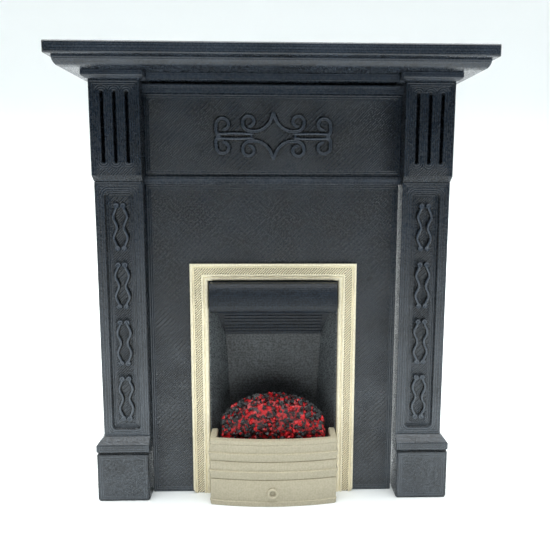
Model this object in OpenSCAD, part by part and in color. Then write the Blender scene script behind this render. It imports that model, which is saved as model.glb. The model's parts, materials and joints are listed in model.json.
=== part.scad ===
// Dolls' house fireplace: a black mantel with fluted pilasters, a slip-in breast panel,
// and a pale framed fire insert with its canopy, bow-fronted basket and coal bed.
// Millimetres, +Z up. The front faces -Y. The origin is at the middle of the footprint, on the floor.

/* [Shelf] */
// Width of the shelf, the widest thing
shelf_w = 94.4; // [90:0.2:100]
// Depth of the shelf, which is the depth of the whole mantel
shelf_d = 23.6; // [22:0.2:27]
// Thickness of the shelf board
shelf_t = 2.6; // [2:0.1:4]
// How far the shelf's front stands ahead of the breast panel
shelf_reach = 12.1; // [10.5:0.1:13.5]
// Height of the bed moulding under the shelf
bed_h = 2.1; // [1.5:0.1:3]

/* [Pilasters] */
// Height of the plinth blocks
plinth_h = 11.8; // [8:0.1:14]
// Height of the weathered cap on each plinth
plinth_cap_h = 3.9; // [3.4:0.1:6]
// Height of the panelled shafts
shaft_h = 59.9; // [57:0.1:64]
// Height of the sloped necking under each capital
neck_h = 1.3; // [1:0.1:2.5]
// Height of the fluted capitals
capital_h = 20.6; // [18:0.1:24]
// Height of the abacus boards
abacus_h = 1.8; // [1.2:0.1:3]
// Distance from the middle to each pilaster's inner face
pilaster_in = 29.3; // [28:0.1:31]
// Width of each shaft
shaft_w = 10.8; // [9.8:0.05:12]
// How far the shafts stand ahead of the breast panel
shaft_p = 3.0; // [2.6:0.1:3.4]
// Number of appliques in each shaft's panel
applique_n = 4; // [2:1:4]

/* [Fire insert] */
// Width of the pale trim frame
trim_w = 38.5; // [37.6:0.1:42]
// Height of the trim frame
trim_h = 56.4; // [55:0.1:60]
// Width of the frame's opening
fire_w = 29.8; // [29.6:0.1:31]
// Height of the frame's opening
fire_h = 52.6; // [52:0.1:53]
// Thickness of the trim frame
trim_t = 1.1; // [0.9:0.1:1.6]

/* [Basket] */
// Height of the basket's rim
basket_h = 16.2; // [15:0.1:18]
// Bow of the basket's front, from the corners to the middle
basket_bow = 1.56; // [1:0.02:2.4]
// How far the basket's corners stand ahead of the breast panel
basket_reach = 6.24; // [5.6:0.02:6.8]
// Number of coals on the bed
coal_n = 64; // [20:1:90]

/* [Hidden] */
$fn = 48;
tiny = 0.01;

// Planes
back_y = shelf_d / 2;
breast_y = shelf_reach - shelf_d / 2;

// Pilaster sizes
capital_p = 3.85;
capital_w = shaft_w + 0.25;
plinth_p = 4.3;
plinth_w = shaft_w + 1.6;
plinth_in = pilaster_in + 0.2;
abacus_in = pilaster_in - 1.3;
abacus_out = pilaster_in + shaft_w + 1.2;
abacus_p = 6.24;

// Heights of the joint lines, from the floor up
cap_z = plinth_h;
shaft_z = cap_z + plinth_cap_h;
neck_z = shaft_z + shaft_h;
capital_z = neck_z + neck_h;
abacus_z = capital_z + capital_h;
bed_z = abacus_z + abacus_h;
shelf_z = bed_z + bed_h;

// Shelf board edges
shelf_edge_r = 0.5;
shelf_edge_steps = 5;
shelf_corner_r = 0.7;

// Bed moulding, at the front and at the ends: set back under the shelf, then an ovolo in to the soffit
bed_front_set = 2.1;
bed_front_in = 2.0;
bed_end_set = 1.2;
bed_end_in = 1.2;
ovolo_steps = 8;

// Chamfer under each abacus
abacus_chamfer_in = 0.9;
abacus_chamfer_h = 0.6;

// Capital flutes
flute_w = 0.8;
flute_depth = 2.2;
flute_pitch = 2.72;
flute_foot = 3.1;
flute_head = 2.65;

// Plinth cap: slope, round-nosed bead and groove
cap_bead_p = 4.5;
cap_bead_h = 1.85;
cap_groove_h = 0.35;
cap_groove_in = 0.4;
cap_undercut = 0.2;
cap_slope_share = 0.93;
cap_nose = 0.2;

// Sunk panel in each shaft
panel_w = 6.5;
panel_foot = 1.6;
panel_head = 2.2;
panel_sunk = 0.9;
panel_r = 1.1;

// Appliques: two wavy strands between small rings
applique_h = 11.0;
applique_pitch = 13.5;
applique_drop = 0.3;
applique_t = 0.75;
strand_w = 0.75;
ring_r = 0.65;
waist_x = 0.77;
bulge_x = 1.55;

// Frieze stack
rail_h = 1.9;
rail_drop = 0.6;
rail_z = neck_z - rail_drop;
frieze_z = rail_z + rail_h;
frieze_t = 3;
cornice_h = 2.3;
cornice_z = abacus_z - cornice_h;
cornice_p = 0.8;
cornice_lip = 0.4;
fascia_p = 3;
slot_down = 0.2;
slot_up = 0.25;
slot_depth = 1.5;

// Frieze scrollwork
scroll_z = (frieze_z + cornice_z) / 2 - 0.2;
scroll_t = 0.55;
scroll_w = 0.86;
spike_h = 4.85;
inner_volute = [5.55, 3.2];
outer_volute = [11.4, 2.5];
volute_end = 250;
bar_z = 0.52;
bar_w = 0.75;
bar_x = [5.0, 12.5];

// Breast panel
breast_t = 2.4;
breast_gap = 0.35;
casing_gap = 0.3;

// Firebox
wall_t = 1.2;
cheek_splay = 0.52;
fireback_foot = 9.4;
fireback_knee = [6.0, 38.4];
throat_top = [1.6, 45.7];
throat_steps = 8;
throat_step_w = 23.6;
throat_step_out = 0.5;
casing_h = fire_h + 1.0;
casing_w = fire_w + 2 * wall_t * sqrt(1 + cheek_splay * cheek_splay);
canopy_w = fire_w - 0.6;
canopy_top = fire_h - 0.1;
canopy_p = 5.2;
canopy_mid = 47.6;
canopy_root = 3.4;
canopy_t = 1.0;
canopy_drop = 2.2;
canopy_steps = 12;

// Trim frame bands, measured from the opening outwards
trim_band_in = 1.75;
trim_band_w = 1.35;
trim_band_sunk = 0.25;
trim_groove_in = 0.9;
trim_groove_w = 0.2;
trim_foot_r = 0.8;

// Basket
basket_w = fire_w - 0.7;
basket_wall = 1.5;
basket_r = (pow(basket_w / 2, 2) + pow(basket_bow, 2)) / (2 * basket_bow);
basket_axis_y = breast_y - basket_reach - basket_bow + basket_r;
rib_out = 0.35;
rib_h = 1.9;
rib_z = [11.1, 6.7];
foot_line_z = 1.15;
foot_out = 0.15;
tray_z = 10;
tray_t = 1.2;
tray_back = 4.6;
tray_back_w = 24.0;
knob_x = -0.2;
knob_z = 3.4;
knob_r = 0.97;
knob_wire = 0.33;
knob_stem = 0.5;

// Coal bed
bed_play = 0.6;
heap_h = 9.9;
coal_size = 1.15;
even_x = 0.7549;
even_y = 0.5698;

mantel_black = [0.16, 0.18, 0.20];
fire_black = [0.11, 0.12, 0.14];
trim_pale = [0.84, 0.81, 0.72];
ember_red = [0.80, 0.10, 0.09];
coal_grey = [0.17, 0.17, 0.18];

// ---- Helpers ----

// The y of a face that stands p ahead of the breast panel
function fy(p) = breast_y - p;

// The same list from its last item to its first
function reversed(list) = [for (i = [len(list) - 1 : -1 : 0]) list[i]];

// Extrudes a [y, z] outline along X
module along_x(x0, x1) {
    translate([x0, 0, 0]) rotate([90, 0, 90]) linear_extrude(x1 - x0) children();
}

// Extrudes an [x, z] outline along Y
module along_y(y0, y1) {
    translate([0, y1, 0]) rotate([90, 0, 0]) linear_extrude(y1 - y0) children();
}

// A block given by its lowest and highest corners
module block(low, high) {
    translate(low) cube(high - low);
}

// The same thing on the left as on the right
module on_left() {
    mirror([1, 0, 0]) children();
}

// A flat strand of even width that follows points in 2D, with round ends
module strand(points, w) {
    last = len(points) - 1;
    function turn(i) = points[min(i + 1, last)] - points[max(i - 1, 0)];
    function side(i) = [-turn(i)[1], turn(i)[0]] / norm(turn(i)) * w / 2;
    polygon(concat(
        [for (i = [0 : last]) points[i] + side(i)],
        [for (i = [last : -1 : 0]) points[i] - side(i)]
    ));
    for (end = [points[0], points[last]]) translate(end) circle(d = w, $fn = 14);
}

// Points of a spiral about c, from angle a0 to a1, while its radius goes from r0 to r1
function spiral(c, a0, a1, r0, r1, n) = [
    for (i = [0 : n])
        let (t = i / n, a = a0 + (a1 - a0) * t, r = r0 + (r1 - r0) * t)
        c + r * [cos(a), sin(a)]
];

// ---- Shelf ----

// The shelf's rounded edge at a reach out, as [out, z] points from its underside to its top
function shelf_edge(out) = [
    for (top = [0, 1], i = [0 : shelf_edge_steps])
        let (a = 90 * (top - 1 + i / shelf_edge_steps))
        [out + shelf_edge_r * (cos(a) - 1),
         (top == 1 ? shelf_z + shelf_t - shelf_edge_r : shelf_z + shelf_edge_r)
         + shelf_edge_r * sin(a)]
];

module mantel_shelf() {
    end = shelf_edge(shelf_w / 2);
    color(mantel_black)
        intersection() {
            along_x(-shelf_w / 2, shelf_w / 2)
                polygon(concat([for (p = shelf_edge(shelf_reach)) [fy(p[0]), p[1]]],
                               [[back_y, shelf_z + shelf_t], [back_y, shelf_z]]));
            along_y(fy(shelf_reach), back_y)
                polygon(concat(end, [for (p = reversed(end)) [-p[0], p[1]]]));
            translate([0, 0, shelf_z]) linear_extrude(shelf_t) shelf_plan();
        }
}

// The shelf from above, with round front corners
module shelf_plan() {
    side = shelf_w / 2 - shelf_corner_r;
    translate([-side, fy(shelf_reach)]) square([2 * side, shelf_d]);
    translate([-shelf_w / 2, fy(shelf_reach) + shelf_corner_r])
        square([shelf_w, shelf_d - shelf_corner_r]);
    for (s = [-1, 1]) translate([s * side, fy(shelf_reach) + shelf_corner_r]) circle(shelf_corner_r);
}

// How far the bed moulding is in from the shelf's edge at t, from 0 at its top to 1 at the soffit
function ovolo(t, set, reach) = set + reach * (1 - sqrt(1 - t * t));

module bed_moulding() {
    steps = [for (i = [0 : ovolo_steps]) i / ovolo_steps];
    front = [for (t = steps)
        [fy(shelf_reach - ovolo(t, bed_front_set, bed_front_in)), shelf_z - bed_h * t]];
    end = [for (t = steps)
        [shelf_w / 2 - ovolo(t, bed_end_set, bed_end_in), shelf_z - bed_h * t]];
    color(mantel_black)
        intersection() {
            along_x(-shelf_w / 2, shelf_w / 2)
                polygon(concat([[back_y, bed_z], [back_y, shelf_z]], front));
            along_y(fy(shelf_reach), back_y)
                polygon(concat(end, [for (p = reversed(end)) [-p[0], p[1]]]));
        }
}

// ---- Pilasters, drawn on the right ----

module abacus() {
    edge_z = abacus_z + abacus_chamfer_h;
    inset = abacus_chamfer_in;
    color(mantel_black)
        difference() {
            intersection() {
                along_x(abacus_in, abacus_out)
                    polygon([[back_y, abacus_z], [back_y, bed_z], [fy(abacus_p), bed_z],
                             [fy(abacus_p), edge_z], [fy(abacus_p - inset), abacus_z]]);
                along_y(fy(abacus_p), back_y)
                    polygon([[abacus_in, abacus_z], [abacus_in, bed_z], [abacus_out, bed_z],
                             [abacus_out, edge_z], [abacus_out - inset, abacus_z]]);
            }
            along_y(fy(abacus_p + 1), fy(fascia_p))
                polygon([[abacus_in - 1, abacus_z - 1], [abacus_in + inset, abacus_z - 1],
                         [abacus_in + inset, abacus_z], [abacus_in, edge_z],
                         [abacus_in - 1, edge_z]]);
        }
}

module capital() {
    x1 = pilaster_in + capital_w;
    mid = pilaster_in + capital_w / 2;
    neck_in = capital_w - shaft_w;
    color(mantel_black) {
        difference() {
            block([pilaster_in, fy(capital_p), capital_z], [x1, back_y, abacus_z]);
            for (i = [-1 : 1]) flute(mid + i * flute_pitch);
        }
        intersection() {
            along_x(pilaster_in, x1)
                polygon([[fy(shaft_p), neck_z], [back_y, neck_z], [back_y, capital_z],
                         [fy(capital_p), capital_z]]);
            along_y(fy(capital_p), back_y)
                polygon([[pilaster_in, neck_z], [x1 - neck_in, neck_z], [x1, capital_z],
                         [pilaster_in, capital_z]]);
        }
    }
}

// One round-ended flute cut into the capital's face
module flute(x) {
    z0 = capital_z + flute_foot;
    z1 = abacus_z - flute_head;
    translate([x, fy(capital_p) - tiny, 0]) {
        block([-flute_w / 2, 0, z0], [flute_w / 2, flute_depth, z1]);
        for (z = [z0, z1])
            translate([0, flute_depth, z]) rotate([90, 0, 0])
                cylinder(d = flute_w, h = flute_depth);
    }
}

panel_z0 = shaft_z + panel_foot;
panel_z1 = neck_z - panel_head;
shaft_mid = pilaster_in + shaft_w / 2;

module shaft() {
    x1 = pilaster_in + shaft_w;
    color(mantel_black)
        difference() {
            block([pilaster_in, fy(shaft_p), shaft_z], [x1, back_y, neck_z]);
            sunk_panel();
        }
}

// The round-cornered panel cut into a shaft
module sunk_panel() {
    half = panel_w / 2;
    along_y(fy(shaft_p) - tiny, fy(shaft_p - panel_sunk)) {
        translate([shaft_mid - half, panel_z0 + panel_r])
            square([panel_w, panel_z1 - panel_z0 - 2 * panel_r]);
        translate([shaft_mid - half + panel_r, panel_z0])
            square([panel_w - 2 * panel_r, panel_z1 - panel_z0]);
        for (x = [-1, 1], z = [panel_z0 + panel_r, panel_z1 - panel_r])
            translate([shaft_mid + x * (half - panel_r), z]) circle(panel_r);
    }
}

// The sideways place of a strand at t, from 0 at its top ring to 1 at its bottom ring
function wave(t) = waist_x + (bulge_x - waist_x) * (1 - cos(720 * t)) / 2;

module applique() {
    reach = applique_h / 2 - ring_r;
    color(mantel_black)
        along_y(fy(shaft_p - panel_sunk + applique_t), fy(shaft_p - panel_sunk))
            for (s = [-1, 1]) {
                strand([for (i = [0 : 20]) let (t = i / 20) [s * wave(t), reach * (1 - 2 * t)]],
                       strand_w);
                for (z = [-reach, reach]) translate([s * waist_x, z]) circle(ring_r, $fn = 24);
            }
}

module appliques() {
    middle = (panel_z0 + panel_z1) / 2 - applique_drop;
    for (i = [0 : applique_n - 1])
        translate([shaft_mid, 0, middle + (i - (applique_n - 1) / 2) * applique_pitch])
            applique();
}

module plinth_cap() {
    x1 = pilaster_in + shaft_w;
    out = plinth_w - shaft_w;
    z_bead = cap_z + cap_groove_h;
    z_slope = z_bead + cap_bead_h;
    color(mantel_black) {
        block([pilaster_in, fy(plinth_p - cap_groove_in), cap_z],
              [x1 + out - cap_groove_in, back_y, z_bead]);
        intersection() {
            along_x(pilaster_in, x1 + out)
                polygon([[back_y, z_bead], [back_y, shaft_z], [fy(shaft_p), shaft_z],
                         [fy(shaft_p + (cap_bead_p - shaft_p) * cap_slope_share), z_slope],
                         [fy(cap_bead_p), z_slope - cap_nose], [fy(cap_bead_p), z_bead + cap_nose],
                         [fy(cap_bead_p - cap_undercut), z_bead]]);
            along_y(fy(cap_bead_p), back_y)
                polygon([[pilaster_in, z_bead], [pilaster_in, shaft_z], [x1, shaft_z],
                         [x1 + out * cap_slope_share, z_slope], [x1 + out, z_slope - cap_nose],
                         [x1 + out, z_bead + cap_nose], [x1 + out - cap_undercut, z_bead]]);
        }
    }
}

module plinth() {
    color(mantel_black)
        block([plinth_in, fy(plinth_p), 0], [pilaster_in + plinth_w, back_y, cap_z]);
}

module left_abacus() on_left() abacus();
module right_abacus() abacus();
module left_capital() on_left() capital();
module right_capital() capital();
module left_shaft() on_left() shaft();
module right_shaft() shaft();
module left_appliques() on_left() appliques();
module right_appliques() appliques();
module left_plinth_cap() on_left() plinth_cap();
module right_plinth_cap() plinth_cap();
module left_plinth() on_left() plinth();
module right_plinth() plinth();

// ---- Frieze, between the pilasters ----

module frieze_board(z0, z1) {
    block([-pilaster_in, breast_y, z0], [pilaster_in, breast_y + frieze_t, z1]);
}

// The fascia and the cornice each hold half of the slot between them
module frieze_fascia() {
    color(mantel_black)
        along_x(-abacus_in, abacus_in)
            polygon([[fy(fascia_p), bed_z], [fy(fascia_p), abacus_z + slot_up],
                     [breast_y + slot_depth, abacus_z + slot_up],
                     [breast_y + slot_depth, abacus_z], [breast_y + frieze_t, abacus_z],
                     [breast_y + frieze_t, bed_z]]);
}

module frieze_cornice() {
    rise = cornice_h - cornice_lip;
    color(mantel_black)
        along_x(-pilaster_in, pilaster_in)
            polygon(concat(
                [for (i = [0 : 8]) let (a = i * 90 / 8)
                    [fy(cornice_p * sin(a)), cornice_z + rise * (1 - cos(a))]],
                [[breast_y, abacus_z - cornice_lip], [breast_y, abacus_z - slot_down],
                 [breast_y + slot_depth, abacus_z - slot_down],
                 [breast_y + slot_depth, abacus_z], [breast_y + frieze_t, abacus_z],
                 [breast_y + frieze_t, cornice_z]]
            ));
}

module frieze_panel() {
    color(mantel_black) frieze_board(frieze_z, cornice_z);
}

module frieze_rail() {
    r = rail_h / 2;
    color(mantel_black) {
        frieze_board(rail_z, frieze_z);
        along_x(-pilaster_in, pilaster_in) translate([breast_y, rail_z + r]) circle(r);
    }
}

// Points of a volute that opens out from its rolled end to angle a0, at radius r0
function volute(c, a0, r0, r_side, r_end) = concat(
    spiral(c, a0, -12, r0, r_side, 7), spiral(c, 0, volute_end, r_side, r_end, 14)
);

// One quarter of the scrollwork: a spike that rolls into a volute, a bar and an outer volute
module scroll_quarter() {
    spike = [[0.12, spike_h], [0.5, 3.85], [1.0, 2.87], [2.05, 1.85], [3.2, 1.25], [4.2, 1.06]];
    strand(concat(spike, volute(inner_volute, -106, 2.15, 1.42, 1.02)), scroll_w);
    strand([[bar_x[0], bar_z], [bar_x[1], bar_z]], bar_w);
    strand(volute(outer_volute, -66, 2.62, 1.6, 1.08), scroll_w);
    for (x = bar_x) strand([[x, 0], [x, bar_z]], bar_w);
}

module frieze_scrollwork() {
    blend = 0.03;
    color(mantel_black)
        translate([0, 0, scroll_z])
            along_y(fy(scroll_t), breast_y)
                offset(r = -blend, $fn = 12) offset(r = blend, $fn = 12)
                    for (mx = [0, 1], mz = [0, 1])
                        mirror([mx, 0]) mirror([0, mz]) scroll_quarter();
}

// ---- Breast panel ----

module breast_panel() {
    hole = casing_w / 2 + casing_gap;
    color(mantel_black)
        difference() {
            block([-pilaster_in, breast_y, 0],
                  [pilaster_in - breast_gap, breast_y + breast_t, rail_z]);
            block([-hole, breast_y - 1, -1], [hole, breast_y + breast_t + 1, casing_h + casing_gap]);
        }
}

// ---- Fire insert ----

// An upside-down U in the [x, z] plane, w wide and h high inside, and t thick
module arch(w, h, t) {
    difference() {
        translate([-w / 2 - t, 0]) square([w + 2 * t, h + t]);
        translate([-w / 2, -1]) square([w, h + 1]);
    }
}

module trim_frame() {
    leg = (trim_w - fire_w) / 2;
    head = trim_h - fire_h;
    color(trim_pale)
        difference() {
            along_y(fy(trim_t), breast_y)
                difference() {
                    translate([-trim_w / 2, 0]) square([trim_w, trim_h]);
                    translate([-fire_w / 2, -1]) square([fire_w, fire_h + 1]);
                    for (s = [-1, 1]) foot_corner(s);
                }
            along_y(fy(trim_t) - 1, fy(trim_t - trim_band_sunk))
                arch(fire_w + 2 * trim_band_in, fire_h + trim_band_in * head / leg, trim_band_w);
            along_y(fy(trim_t) - 1, fy(trim_t - trim_band_sunk))
                arch(fire_w + 2 * trim_groove_in, fire_h + trim_groove_in * head / leg,
                     trim_groove_w);
        }
}

// The waste outside the round outer corner at the foot of a trim leg
module foot_corner(s) {
    x = s * (trim_w / 2 - trim_foot_r);
    difference() {
        translate([s > 0 ? x : x - trim_foot_r - 1, -1]) square([trim_foot_r + 1, trim_foot_r + 1]);
        translate([x, trim_foot_r]) circle(trim_foot_r);
    }
}

// The canopy's outer curve, at a distance t inside it, from the root down to the lip
function canopy_curve(t) = concat(
    [for (i = [0 : canopy_steps]) let (a = 90 - 90 * i / canopy_steps)
        [fy(canopy_root + (canopy_p - canopy_root - t) * cos(a)),
         canopy_mid + (canopy_top - canopy_mid - t) * sin(a)]],
    [for (i = [1 : canopy_steps]) let (a = -78 * i / canopy_steps)
        [fy(canopy_p - canopy_drop + (canopy_drop - t) * cos(a)),
         canopy_mid + (canopy_drop - t) * sin(a)]]
);

module canopy() {
    throat_y = breast_y + throat_top[0];
    color(fire_black) {
        along_x(-canopy_w / 2, canopy_w / 2)
            polygon(concat(
                [[breast_y, canopy_top]], canopy_curve(0), reversed(canopy_curve(canopy_t)),
                [[breast_y, canopy_top - canopy_t]]
            ));
        intersection() {
            between_cheeks();
            block([-fire_w, breast_y, canopy_top - canopy_t], [fire_w, throat_y, canopy_top]);
        }
        for (s = [-1, 1])
            along_x(s > 0 ? canopy_w / 2 - canopy_t : -canopy_w / 2,
                    s > 0 ? canopy_w / 2 : canopy_t - canopy_w / 2)
                polygon(concat([[breast_y, canopy_top]], canopy_curve(0), [[breast_y, canopy_mid - 2]]));
    }
}

// The firebox's side outline as seen from the side, back to a face d behind the lining
function lining(d) = [
    [breast_y + fireback_foot + d, 0],
    [breast_y + fireback_knee[0] + d, fireback_knee[1]],
    [breast_y + throat_top[0] + d, throat_top[1]],
    [breast_y + throat_top[0] + d, casing_h]
];

module right_cheek() {
    x0 = fire_w / 2;
    skin = casing_w / 2 - x0;
    run = fireback_foot + wall_t;
    color(fire_black)
        intersection() {
            linear_extrude(casing_h)
                polygon([[x0, breast_y], [x0 + skin, breast_y],
                         [x0 + skin - run * cheek_splay, breast_y + run],
                         [x0 - run * cheek_splay, breast_y + run]]);
            along_x(0, casing_w)
                polygon(concat([[breast_y, casing_h], [breast_y, 0]], lining(wall_t)));
        }
}

module left_cheek() on_left() right_cheek();

// The space between the two cheeks
module between_cheeks() {
    run = fireback_foot + 2 * wall_t;
    x0 = fire_w / 2;
    x1 = x0 - run * cheek_splay;
    linear_extrude(casing_h)
        polygon([[-x0, breast_y], [x0, breast_y], [x1, breast_y + run], [-x1, breast_y + run]]);
}

// A plate of the firebox's back, between two heights
module back_plate(z0, z1) {
    intersection() {
        between_cheeks();
        along_x(-fire_w, fire_w) polygon(concat(lining(0), reversed(lining(wall_t))));
        block([-fire_w, breast_y, z0], [fire_w, back_y + fire_w, z1]);
    }
}

module fireback() {
    color(fire_black) back_plate(wall_t, fireback_knee[1]);
}

// The plate that leans out over the fire, with level steps of even width along its face
module throat_plate() {
    lean = throat_top - fireback_knee;
    color(fire_black) {
        back_plate(fireback_knee[1], casing_h);
        for (i = [0 : throat_steps - 1])
            let (foot = fireback_knee + lean * i / throat_steps,
                 head = fireback_knee + lean * (i + 1) / throat_steps)
                block([-throat_step_w / 2, breast_y + head[0] - throat_step_out, foot[1]],
                      [throat_step_w / 2, breast_y + foot[0] + throat_step_out, head[1]]);
    }
}

module firebox_floor() {
    color(fire_black)
        intersection() {
            between_cheeks();
            along_x(-fire_w, fire_w)
                polygon([[breast_y, 0], [breast_y, wall_t],
                         [breast_y + fireback_foot + wall_t - 0.1, wall_t],
                         [breast_y + fireback_foot + wall_t, 0]]);
        }
}

// ---- Basket ----

// The bow-fronted plan of the basket, in by d from its outer face and grown forward by rib
module bow_plan(d, rib, y_end) {
    intersection() {
        translate([0, basket_axis_y]) circle(basket_r - d + rib, $fn = 180);
        translate([-basket_w / 2 + d - rib / 3, fy(basket_reach + basket_bow + 1)])
            square([basket_w - 2 * d + rib * 2 / 3, y_end - fy(basket_reach + basket_bow + 1)]);
    }
}

module basket() {
    color(trim_pale) {
        difference() {
            union() {
                linear_extrude(foot_line_z) bow_plan(-foot_out, 0, breast_y);
                translate([0, 0, foot_line_z])
                    linear_extrude(basket_h - foot_line_z) bow_plan(0, 0, breast_y);
                for (z = rib_z)
                    translate([0, 0, z]) linear_extrude(rib_h) bow_plan(0, rib_out, breast_y);
            }
            translate([0, 0, -1]) linear_extrude(basket_h + 2)
                bow_plan(basket_wall, 0, breast_y + 1);
        }
        translate([0, 0, tray_z]) linear_extrude(tray_t) {
            bow_plan(basket_wall - tiny, 0, breast_y);
            polygon([[-basket_w / 2 + basket_wall, breast_y - tiny],
                     [basket_w / 2 - basket_wall, breast_y - tiny],
                     [tray_back_w / 2, breast_y + tray_back],
                     [-tray_back_w / 2, breast_y + tray_back]]);
        }
    }
}

module basket_knob() {
    face = fy(basket_reach + basket_bow);
    color(trim_pale)
        translate([knob_x, face, knob_z]) rotate([90, 0, 0]) {
            rotate_extrude() translate([knob_r, knob_wire]) circle(knob_wire, $fn = 24);
            translate([0, 0, -knob_stem]) cylinder(r = knob_r, h = knob_stem + knob_wire);
        }
}

// ---- Coal bed ----

// The middle of the heap, and its half sizes along X, Y and Z
heap_mid = [0, fy(0.7), 15];
heap_half = [13.4, 5.1, heap_h];
heap_shoulder = 15.6;

module ember_bed() {
    z0 = tray_z + tray_t;
    half = basket_w / 2 - basket_wall - bed_play;
    front = fy(basket_reach - basket_wall - bed_play);
    back_half = tray_back_w / 2 - bed_play;
    color(ember_red)
        hull() {
            block([-half, front, z0], [half, breast_y, heap_shoulder]);
            block([-back_half, breast_y, z0],
                  [back_half, breast_y + tray_back - bed_play, heap_shoulder]);
            intersection() {
                translate(heap_mid) scale(heap_half) sphere(1, $fn = 32);
                block([-half, front, heap_shoulder], [half, breast_y + tray_back, 40]);
            }
        }
}

// The height of the heap at x, y
function heap_z(x, y) =
    let (u = x / heap_half[0], v = (y - heap_mid[1]) / heap_half[1])
    max(heap_shoulder, heap_mid[2] + heap_half[2] * sqrt(max(0, 1 - u * u - v * v)));

// The part of a number after its point
function part_of(v) = v - floor(v);

// Coals spread evenly over the heap, each one turned its own way
module coals() {
    half = basket_w / 2 - basket_wall - bed_play - coal_size * 0.6;
    front = fy(basket_reach - basket_wall - bed_play - coal_size * 0.6);
    deep = breast_y + tray_back - bed_play - coal_size * 0.6 - front;
    color(coal_grey)
        for (i = [1 : coal_n])
            let (x = half * (2 * part_of(i * even_x) - 1), y = front + deep * part_of(i * even_y))
                translate([x, y, heap_z(x, y) + coal_size * 0.1])
                    rotate([i * 77, i * 131, i * 53])
                        cube(coal_size * (0.8 + 0.3 * abs(sin(i * 71))), center = true);
}

mantel_shelf();
bed_moulding();
left_abacus();
right_abacus();
left_capital();
right_capital();
left_shaft();
right_shaft();
left_appliques();
right_appliques();
left_plinth_cap();
right_plinth_cap();
left_plinth();
right_plinth();
frieze_fascia();
frieze_cornice();
frieze_panel();
frieze_scrollwork();
frieze_rail();
breast_panel();
trim_frame();
canopy();
left_cheek();
right_cheek();
fireback();
throat_plate();
firebox_floor();
basket();
basket_knob();
ember_bed();
coals();
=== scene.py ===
"""A dolls' house mantel and its fire insert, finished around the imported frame.

Sizes in this file are millimetres in the frame's own axes: X right, the front faces -Y, Z up.
"""

import json
import math
import random

import bmesh
import bpy
from mathutils import Matrix, Vector

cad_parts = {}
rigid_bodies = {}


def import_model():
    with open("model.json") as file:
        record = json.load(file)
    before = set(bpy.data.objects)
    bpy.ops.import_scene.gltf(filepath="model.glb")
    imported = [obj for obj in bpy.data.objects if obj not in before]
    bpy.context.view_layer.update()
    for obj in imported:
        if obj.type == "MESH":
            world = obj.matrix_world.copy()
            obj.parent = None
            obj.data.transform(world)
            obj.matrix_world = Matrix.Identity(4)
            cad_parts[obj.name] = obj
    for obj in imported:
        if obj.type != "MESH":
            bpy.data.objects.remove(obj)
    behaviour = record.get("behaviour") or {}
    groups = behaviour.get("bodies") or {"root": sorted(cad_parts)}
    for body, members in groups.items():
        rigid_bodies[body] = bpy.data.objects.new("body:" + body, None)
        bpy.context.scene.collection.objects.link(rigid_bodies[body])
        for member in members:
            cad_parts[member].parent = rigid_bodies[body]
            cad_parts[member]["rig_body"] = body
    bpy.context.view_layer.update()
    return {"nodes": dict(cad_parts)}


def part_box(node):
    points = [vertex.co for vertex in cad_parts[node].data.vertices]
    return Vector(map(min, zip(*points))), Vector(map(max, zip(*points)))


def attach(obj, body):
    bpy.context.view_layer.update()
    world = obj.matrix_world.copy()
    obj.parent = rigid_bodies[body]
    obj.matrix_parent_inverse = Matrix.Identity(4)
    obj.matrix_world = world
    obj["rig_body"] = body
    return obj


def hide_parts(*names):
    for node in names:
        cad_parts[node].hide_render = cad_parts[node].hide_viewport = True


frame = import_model()

MM = 0.001
SEED = 11


# ---- Places, read from the frame ----


def span(node):
    """The lowest and highest corner of a CAD node, in millimetres."""
    lo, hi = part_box(node)
    return lo / MM, hi / MM


TRIM = span("trim_frame")
BASKET = span("basket")
KNOB = span("basket_knob")
HEAP = span("ember_bed")
THROAT = span("throat_plate")
CANOPY = span("canopy")
BREAST_Y = span("breast_panel")[0].y


# ---- Camera, light and floor ----

CAMERA_PLACE = Vector((-0.946, BREAST_Y - 141.81, 75.74))
CAMERA_YAW = -1.67
CAMERA_PITCH = 8.03
CAMERA_ROLL = 0.19
CAMERA_LENS = 39.94
CAMERA_SHIFT = (-0.02175, -0.01407)


def link(obj):
    bpy.context.scene.collection.objects.link(obj)
    return obj


def add_camera():
    data = bpy.data.cameras.new("camera")
    data.sensor_width = 36
    data.lens = CAMERA_LENS
    data.shift_x, data.shift_y = CAMERA_SHIFT
    data.clip_start = 5 * MM
    data.clip_end = 20
    camera = link(bpy.data.objects.new("camera", data))
    turn = Matrix.Rotation(math.radians(CAMERA_YAW), 4, "Z")
    tilt = Matrix.Rotation(math.radians(90 - CAMERA_PITCH), 4, "X")
    roll = Matrix.Rotation(math.radians(CAMERA_ROLL), 4, "Z")
    camera.matrix_world = Matrix.Translation(CAMERA_PLACE * MM) @ turn @ tilt @ roll
    bpy.context.scene.camera = camera


# How bright the soft box overhead, the walls and the dark room in front are
SOFTBOX = 5.4
WALLS = 1.7
ROOM = 0.05
# Where the room turns into walls and the walls into the soft box, as parts of a unit direction
WALL_EDGE = (-0.30, 0.30)
SOFTBOX_EDGE = (0.68, 0.86)
SKY_TINT = (0.97, 1.0, 1.0, 1)
PAPER = (0.87, 0.895, 0.90, 1)
PAPER_ROUGHNESS = 0.9


def add_world():
    """A soft box overhead, white walls behind and at the sides, and a dark room in front."""
    world = bpy.data.worlds.new("studio")
    world.use_nodes = True
    bpy.context.scene.world = world
    sky = Tree(world.node_tree)
    x, y, z = sky.split(sky.node("ShaderNodeTexCoord").outputs["Generated"])
    behind = sky.remap(y, *WALL_EDGE)
    level = sky.blend(behind, ROOM, WALLS)
    above = sky.remap(z, *SOFTBOX_EDGE)
    backdrop = world.node_tree.nodes["Background"]
    backdrop.inputs["Color"].default_value = SKY_TINT
    sky.feed(backdrop.inputs["Strength"], sky.blend(above, level, SOFTBOX))
    bpy.context.scene.view_settings.view_transform = "Standard"


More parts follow.
